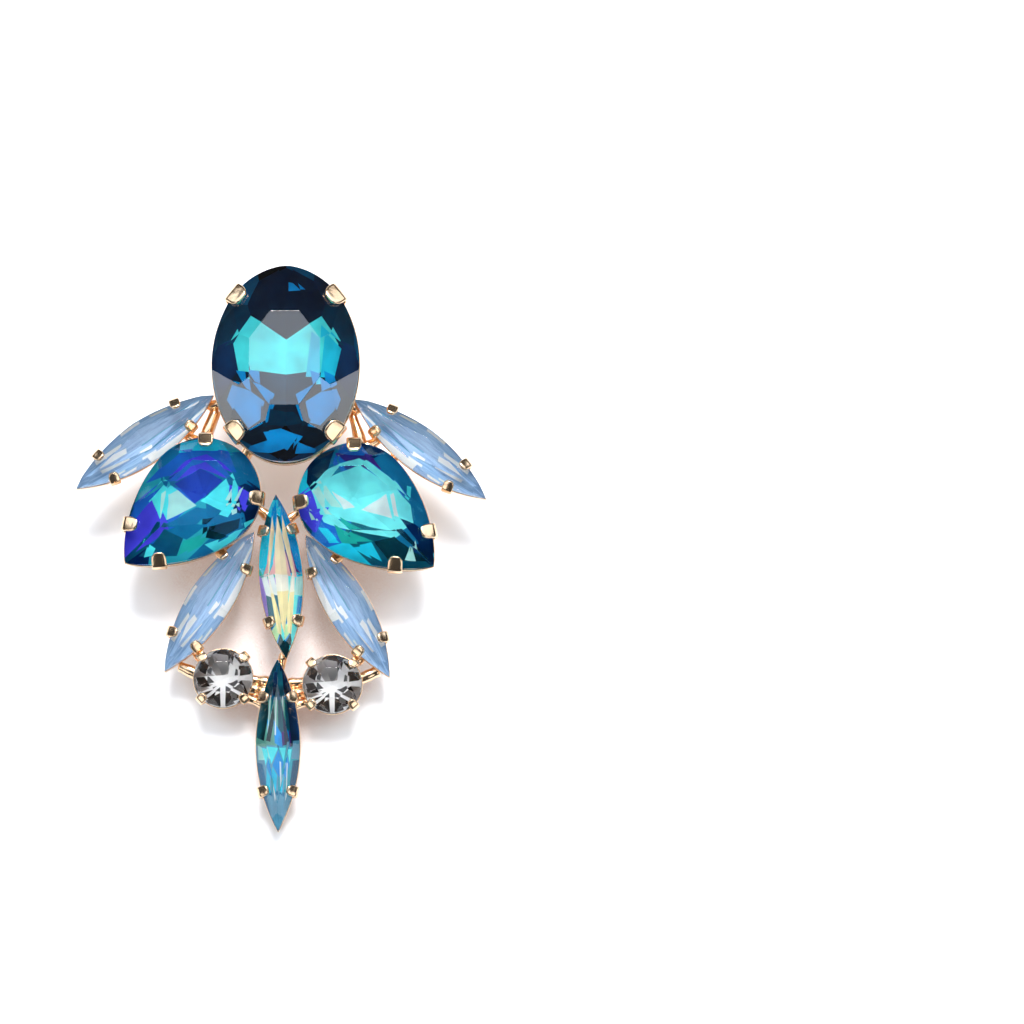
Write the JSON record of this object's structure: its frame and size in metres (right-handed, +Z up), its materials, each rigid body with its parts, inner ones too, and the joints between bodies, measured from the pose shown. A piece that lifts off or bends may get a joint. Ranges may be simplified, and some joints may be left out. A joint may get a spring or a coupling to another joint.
{
  "type": "drop earring",
  "caption": "Statement drop earring of claw-set faceted glass stones soldered in a fan: a large oval over pears, marquises and rounds, tapering to a marquise tip, with a clip behind.",
  "frame": {"origin": "on the surface it lies on, under the middle of its outline", "axes": "+Z up, away from that surface, +Y from the tip towards the oval stone, +X to the right seen from the front"},
  "size_m": [0.037, 0.0506, 0.0132],
  "materials": {
    "oval_glass": "polished, faceted, foiled back, deep teal",
    "blue_pear_glass": "polished, faceted, foiled back, blue to violet",
    "aqua_pear_glass": "polished, faceted, foiled back, aqua to blue",
    "opal_glass": "polished, faceted, milky opal blue",
    "aurora_glass": "polished, faceted, iridescent coating over clear",
    "teal_glass": "polished, faceted, foiled back, teal blue",
    "clear_glass": "polished, faceted, silver foil back",
    "gold_plate": "polished pale gold plating"
  },
  "bodies": {
    "root": {"oval_stone": "oval_glass", "pear_stone_left": "blue_pear_glass", "pear_stone_right": "aqua_pear_glass", "wing_stone_left": "opal_glass", "wing_stone_right": "opal_glass", "leaf_stone_left": "opal_glass", "leaf_stone_right": "opal_glass", "centre_stone": "aurora_glass", "drop_stone": "teal_glass", "round_stone_left": "clear_glass", "round_stone_right": "clear_glass", "setting_frame": "gold_plate", "ear_clip": "gold_plate"}
  },
  "joints": []
}
